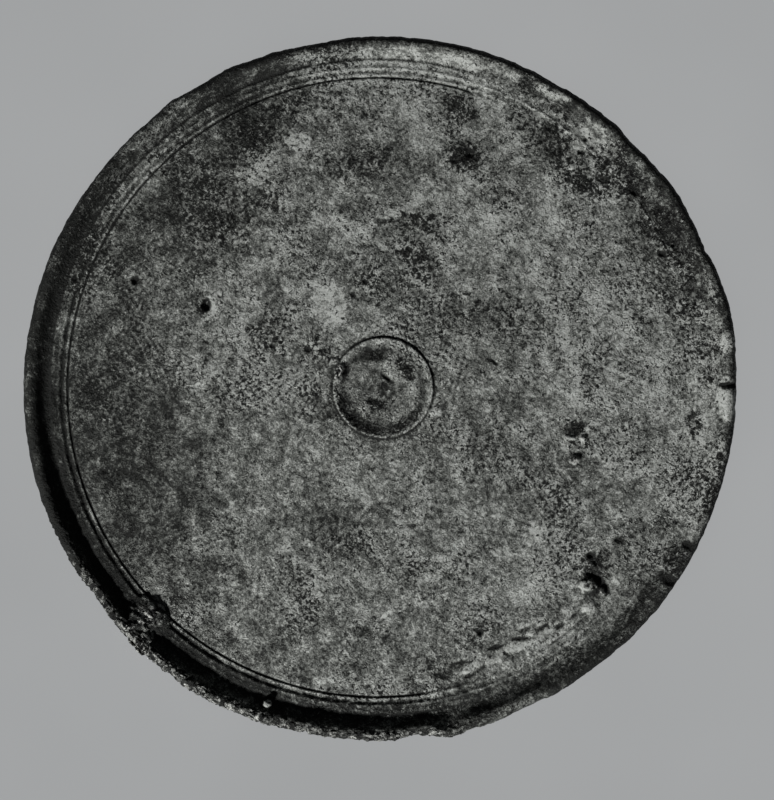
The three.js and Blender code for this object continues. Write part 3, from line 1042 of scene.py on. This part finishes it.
broken_edge = bpy.data.node_groups.new("broken_edge", "ShaderNodeTree")
for name in ("Field", "Mottle", "Speckle", "Mottle Part", "Speckle Part"):
    broken_edge.interface.new_socket(name, in_out="INPUT", socket_type="NodeSocketFloat")
broken_edge.interface.new_socket("Mask", in_out="OUTPUT", socket_type="NodeSocketFloat")
group_in = broken_edge.nodes.new("NodeGroupInput")
group_out = broken_edge.nodes.new("NodeGroupOutput")
mottle_centred = sum_node(broken_edge, -0.5, group_in.outputs["Mottle"])
speckle_centred = sum_node(broken_edge, -0.5, group_in.outputs["Speckle"])
field_spread = sum_node(broken_edge, FIELD_FLOOR, group_in.outputs["Field"], FIELD_GAIN)
with_mottle = sum_node(
    broken_edge, field_spread, mottle_centred, group_in.outputs["Mottle Part"])
with_speckle = sum_node(
    broken_edge, with_mottle, speckle_centred, group_in.outputs["Speckle Part"])
sharpened = step_node(broken_edge, with_speckle, EDGE_FROM, EDGE_TO)
broken_edge.links.new(sharpened, group_out.inputs["Mask"])
print("group:", broken_edge.name, [item.name for item in broken_edge.interface.items_tree])

# %% [markdown]
# ## The finish, part two: noise in millimetres
#
# Object coordinates come in metres. A Mapping node multiplies them by a thousand, so that
# a noise with scale 1 has lumps about a millimetre across, and every scale below can be
# read as lumps per millimetre. The node also turns them, because noise is built on a
# square lattice, and on a flat disc that lies along it the lattice shows as a weave.
#
# Each noise has its own work. Drift is the slow wandering of the patina, calm says where
# it is smooth and where it is rough, mottle and speckle break it up at a few millimetres
# and under one, flakes and clumps are where it scaled or clotted, pocks are pinholes and
# grit is the finest grain.

# %% Start the patina and its noises
LATTICE_TURN = (0.5, 0.3, 0.8)  # radians, no multiple of a quarter turn

patina, patina_output = new_material("buried_bronze_patina")
tree = patina.node_tree
coordinates = tree.nodes.new("ShaderNodeTexCoord")
millimetres = wire(tree, "ShaderNodeMapping", Vector=coordinates.outputs["Object"])
millimetres.inputs["Scale"].default_value = (1 / MM, 1 / MM, 1 / MM)
millimetres.inputs["Rotation"].default_value = LATTICE_TURN


def noise_node(scale, detail, roughness, distortion=0.0):
    """Noise in the mirror's own space, with lumps of 1 / scale millimetres."""
    node = wire(
        tree, "ShaderNodeTexNoise", Vector=millimetres.outputs["Vector"], Scale=scale,
        Detail=detail, Roughness=roughness, Distortion=distortion)
    return node.outputs["Fac"]


def attribute_node(name):
    """A field that was stored on the mesh."""
    node = tree.nodes.new("ShaderNodeAttribute")
    node.attribute_name = name
    return node.outputs["Fac"]


drift = noise_node(0.15, 6.0, 0.95)
calm = noise_node(0.07, 3.0, 0.6)
mottle = noise_node(0.42, 4.0, 0.62, 0.4)
speckle = noise_node(1.3, 3.0, 0.85)
flake_noise = noise_node(0.95, 2.0, 0.6, 0.5)
clump_noise = noise_node(0.7, 3.0, 0.75, 0.4)
pock_noise = noise_node(1.25, 2.0, 0.7, 0.5)
grit = noise_node(2.9, 1.0, 0.6)
bloom = attribute_node("bloom")
stain = attribute_node("stain")
crust = attribute_node("crust")
tone_and_rim_shade = attribute_node("tone_and_rim_shade")
hollow_shading = attribute_node("hollow")
pit_shade = attribute_node("pit_shade")
bare_rings = attribute_node("bare_rings")
top = attribute_node("top")
print("patina noises:", len(tree.nodes), "nodes so far")

# %% [markdown]
# Now the group makes a mask of each soft field. A stain is eaten far into its surroundings
# and breaks up into clumps, so it takes a large part of the noise. A bloom is a film with a
# ragged edge, and a crust ends where it ends, so it takes the least.

# %% Make the masks of blooms, stains and crusts


def broken(field, mottle_part, speckle_part, small=speckle):
    """The field's mask with a broken edge."""
    node = tree.nodes.new("ShaderNodeGroup")
    node.node_tree = broken_edge
    tree.links.new(field, node.inputs["Field"])
    tree.links.new(mottle, node.inputs["Mottle"])
    tree.links.new(small, node.inputs["Speckle"])
    node.inputs["Mottle Part"].default_value = mottle_part
    node.inputs["Speckle Part"].default_value = speckle_part
    return node.outputs["Mask"]


bloom_mask = broken(bloom, 1.6, 2.0)
stain_mask = broken(stain, 5.0, 4.0, clump_noise)
crust_mask = broken(crust, 0.8, 1.0)
print("masks:", len(tree.nodes), "nodes so far")

# %% [markdown]
# Painted shade darkens the turned grooves, the crease at the foot of the rim's wall and
# the shaded sides of the roundel's rings, and a painted highlight lightens one fillet.
# Those lines are finer than the mesh, so the material finds them by their distance from
# the centre that they were turned on. A Mapping node moves the origin there and flattens
# the height away, and the length of what is left is the radius.

# %% Find the turned lines by their radius
# Dark lines are painted shade in the grooves and the wall's crease; the light one at 75.05 is a
# painted highlight on a fillet. The roundel's lines are painted shadow beside its rings.
RING_SHADING_LINES = [  # radius, half width, lighter or darker
    (74.43, 0.45, -0.5), (75.75, 0.6, -0.12), (75.05, 0.3, 0.16), (78.75, 0.6, -0.45),
]
ROUNDEL_SHADE_LINES = [(12.3, 0.5, -0.45), (9.6, 1.8, -0.16), (2.5, 0.9, -0.16)]


def radius_from(centre):
    """Distance in millimetres from an upright axis at the centre."""
    node = wire(tree, "ShaderNodeMapping", Vector=coordinates.outputs["Object"])
    node.inputs["Scale"].default_value = (1 / MM, 1 / MM, 0)
    node.inputs["Location"].default_value = (-centre[0], -centre[1], 0)
    length = tree.nodes.new("ShaderNodeVectorMath")
    length.operation = "LENGTH"
    tree.links.new(node.outputs["Vector"], length.inputs[0])
    return length.outputs["Value"]


def line_at(radius, middle, half, strength):
    """A soft line round the disc: strength in its middle, 0 beyond its half width."""
    gap = tree.nodes.new("ShaderNodeMath")
    gap.operation = "ABSOLUTE"
    tree.links.new(sum_node(tree, -middle, radius), gap.inputs[0])
    return step_node(tree, gap.outputs["Value"], 0, half, strength, 0)


def lines_at(radius, table):
    """The sum of a table's lines."""
    total = line_at(radius, *table[0])
    for middle, half, strength in table[1:]:
        total = sum_node(tree, total, line_at(radius, middle, half, strength))
    return total


def axis_of(shift):
    """Where a turned group's own centre stands in the frame."""
    return (AXIS[0] + shift[0], AXIS[1] + shift[1])


ring_shading = lines_at(radius_from(axis_of(RING_SHIFT)), RING_SHADING_LINES)
roundel_shade = lines_at(radius_from(axis_of(ROUNDEL_SHIFT)), ROUNDEL_SHADE_LINES)
# These turned lines are painted shade, kept only where the rings are bare of silt.
painted_groove_shading = sum_node(tree, roundel_shade, ring_shading, bare_rings)
print("turned lines:", len(tree.nodes), "nodes so far")

# %% [markdown]
# ## The finish, part three: colour
#
# The ground colour runs from almost black through grey-green to pale grey by one number,
# the patina's lightness. Drift, speckle and grit push that number about. Painted shade in
# the hollows, pits and turned lines pulls it down, a painted highlight and painted high
# points lift it in places, and the wide tones, which carry painted shade along the rim,
# shift it. A bloom raises it and quietens the speckle, so that the pale mineral looks
# smoother than the bare crust beside it.
#
# Black pocks and pale grains come from the two ends of one noise. Both are commoner on the
# rough parts, and the pocks crowd together in the stains.

# %% Add up the patina's lightness
flakes = step_node(tree, flake_noise, 0.45, 0.53)
pock_field = sum_node(tree, sum_node(tree, pock_noise, calm, 0.5), stain, 0.12)
pocks = step_node(tree, pock_field, 0.85, 0.9)
grains = step_node(tree, sum_node(tree, pock_noise, calm, -0.4), 0.14, 0.19, 1, 0)
strong_bloom = sum_node(tree, 0.0, bloom, bloom_mask)
lightness = sum_node(tree, -2.32, drift, 3.6)
lightness = sum_node(tree, lightness, speckle, sum_node(tree, 1.45, bloom_mask, -0.65))
# The turned lines, the hollow and pit fields and the rim's part of the tone paint light and
# shade into this lightness.
for part, weight in (
        (flakes, 0.12), (grit, 0.7), (tone_and_rim_shade, 1.0), (painted_groove_shading, 1.0), (hollow_shading, -1.2),
        (stain, -0.12), (bloom_mask, 0.5), (strong_bloom, 0.12), (grains, 0.3),
        (pocks, -0.9), (pit_shade, -0.9)):
    lightness = sum_node(tree, lightness, part, weight)
print("lightness:", len(tree.nodes), "nodes so far")

# %% [markdown]
# Over the ground the stains are laid in near black and the crusts in pale grey with black
# gaps, each through its own broken mask. The colours are mixed by masks and not by one
# long ramp, because a stain is another stuff than the patina and should end sharply. The
# plain side has a ground of its own.

# %% Mix the patina's colour
GROUND = [
    (0.0, (0.011, 0.0115, 0.0105)), (0.25, (0.043, 0.045, 0.041)),
    (0.5, (0.1, 0.104, 0.096)), (0.75, (0.186, 0.192, 0.178)), (1.0, (0.34, 0.35, 0.33)),
]
CRUST = [
    (0.45, (0.006, 0.006, 0.006)), (0.5, (0.04, 0.041, 0.038)),
    (0.54, (0.26, 0.265, 0.25)), (0.62, (0.46, 0.465, 0.435)),
]
STAIN = [
    (0.45, (0.002, 0.002, 0.002)), (0.54, (0.013, 0.014, 0.012)),
    (0.61, (0.06, 0.062, 0.057)), (0.7, (0.18, 0.185, 0.175)),
]
PLAIN_SIDE = [
    (0.3, (0.05, 0.056, 0.05)), (0.5, (0.12, 0.13, 0.115)), (0.7, (0.24, 0.26, 0.23)),
]


def laid_over(under, over, mask):
    """One colour laid over another where the mask is."""
    node = tree.nodes.new("ShaderNodeMix")
    node.data_type = "RGBA"
    tree.links.new(mask, node.inputs["Factor"])
    for name, value in (("A", under), ("B", over)):
        socket = [s for s in node.inputs if s.name == name and s.type == "RGBA"][0]
        tree.links.new(value, socket)
    return [s for s in node.outputs if s.type == "RGBA"][0]


colour = ramp_node(tree, lightness, GROUND)
colour = laid_over(colour, ramp_node(tree, speckle, STAIN), stain_mask)
colour = laid_over(colour, ramp_node(tree, clump_noise, CRUST), crust_mask)
colour = laid_over(ramp_node(tree, mottle, PLAIN_SIDE), colour, top)
print("patina colour:", len(tree.nodes), "nodes so far")

# %% [markdown]
# ## The finish, part four: grain and dullness
#
# The crust is matt, and its dark specks a little less so. Grain too fine for the mesh goes
# into a Bump node: speckle and grit everywhere, rounded granules where there is crust, and
# much less of all of it on the blooms and on the plain side.

# %% Add the fine grain and finish the shader
FINEST_RELIEF = 0.42  # height of a relief value of one
MATT = 0.85  # roughness of the pale specks
LESS_MATT = 0.62  # and of the dark ones

relief = speckle
for part, weight in ((flakes, 0.45), (mottle, 0.6), (grit, 0.35)):
    relief = sum_node(tree, relief, part, weight)
relief = sum_node(tree, 0.0, relief, step_node(tree, calm, 0.38, 0.62, 0.6, 1.3))
relief = sum_node(tree, 0.0, relief, step_node(tree, bloom_mask, 0, 1, 1.0, 0.35))
clumps = sum_node(tree, 0.0, step_node(tree, clump_noise, 0.42, 0.56), crust_mask)
for part, weight in ((pocks, -0.6), (grains, 0.4), (clumps, 0.9)):
    relief = sum_node(tree, relief, part, weight)
relief = sum_node(tree, 0.0, relief, step_node(tree, top, 0, 1, 0.35, 1.0))
bump = wire(tree, "ShaderNodeBump", Height=relief, Strength=1.0, Distance=FINEST_RELIEF * MM)
dullness = step_node(tree, speckle, 0.3, 0.7, LESS_MATT, MATT)
shader = wire(
    tree, "ShaderNodeBsdfPrincipled", Base_Color=colour, Roughness=dullness,
    Normal=bump.outputs["Normal"], Metallic=0.0)
shader.inputs["Specular IOR Level"].default_value = 0.12
tree.links.new(shader.outputs["BSDF"], patina_output.inputs["Surface"])
mirror.data.materials.clear()
mirror.data.materials.append(patina)
print("patina:", len(tree.nodes), "nodes")

# %% [markdown]
# ## Light
#
# The relief is shallow, so it shows only in light that comes low from one side. A small
# soft lamp stands at the lower left. It lights the mirror only, and a lamp high overhead
# lights the paper only, so the paper stays even and pale. Light linking does that. A trace
# of grey from all round keeps the deepest shadows from going quite black.

# %% Set the lamps
KEY_DIRECTION = 237.0  # degrees round the mirror
KEY_ELEVATION = 34.0  # degrees over the table
KEY_DISTANCE = 900.0
KEY_SIZE = 80.0  # small for its distance, so the rim's shadow has a firm edge
KEY_POWER = 14.2  # watts
PAPER_LAMP_HEIGHT = 2000.0
PAPER_LAMP_SIZE = 200.0
PAPER_LAMP_POWER = 37.5
ROOM_COLOUR = (0.9, 0.95, 1.0, 1)
ROOM_STRENGTH = 0.05


def area_lamp(name, place, size, power, receiver):
    """A square soft lamp that looks at the origin and lights only its receiver."""
    data = bpy.data.lights.new(name, "AREA")
    data.size = size * MM
    data.energy = power
    lamp = bpy.data.objects.new(name, data)
    lamp.location = Vector(place) * MM
    lamp.rotation_euler = (-lamp.location).to_track_quat("-Z", "Y").to_euler()
    bpy.context.scene.collection.objects.link(lamp)
    lit = bpy.data.collections.new("lit_by_" + name)
    lit.objects.link(receiver)
    lamp.light_linking.receiver_collection = lit


level = KEY_DISTANCE * math.cos(math.radians(KEY_ELEVATION))
key_place = (
    level * math.cos(math.radians(KEY_DIRECTION)),
    level * math.sin(math.radians(KEY_DIRECTION)),
    KEY_DISTANCE * math.sin(math.radians(KEY_ELEVATION)),
)
area_lamp("key_lamp", key_place, KEY_SIZE, KEY_POWER, mirror)
area_lamp("paper_lamp", (0, 0, PAPER_LAMP_HEIGHT), PAPER_LAMP_SIZE, PAPER_LAMP_POWER, paper)
world = bpy.data.worlds.new("dim_room")
bpy.context.scene.world = world
world.use_nodes = True
background = world.node_tree.nodes["Background"]
background.inputs["Color"].default_value = ROOM_COLOUR
background.inputs["Strength"].default_value = ROOM_STRENGTH
bpy.context.scene.view_settings.view_transform = "Standard"
bpy.context.scene.view_settings.look = "None"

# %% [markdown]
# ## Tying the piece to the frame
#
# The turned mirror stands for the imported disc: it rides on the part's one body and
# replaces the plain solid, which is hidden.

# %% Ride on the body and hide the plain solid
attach(mirror, "root")
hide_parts("mirror_disc")
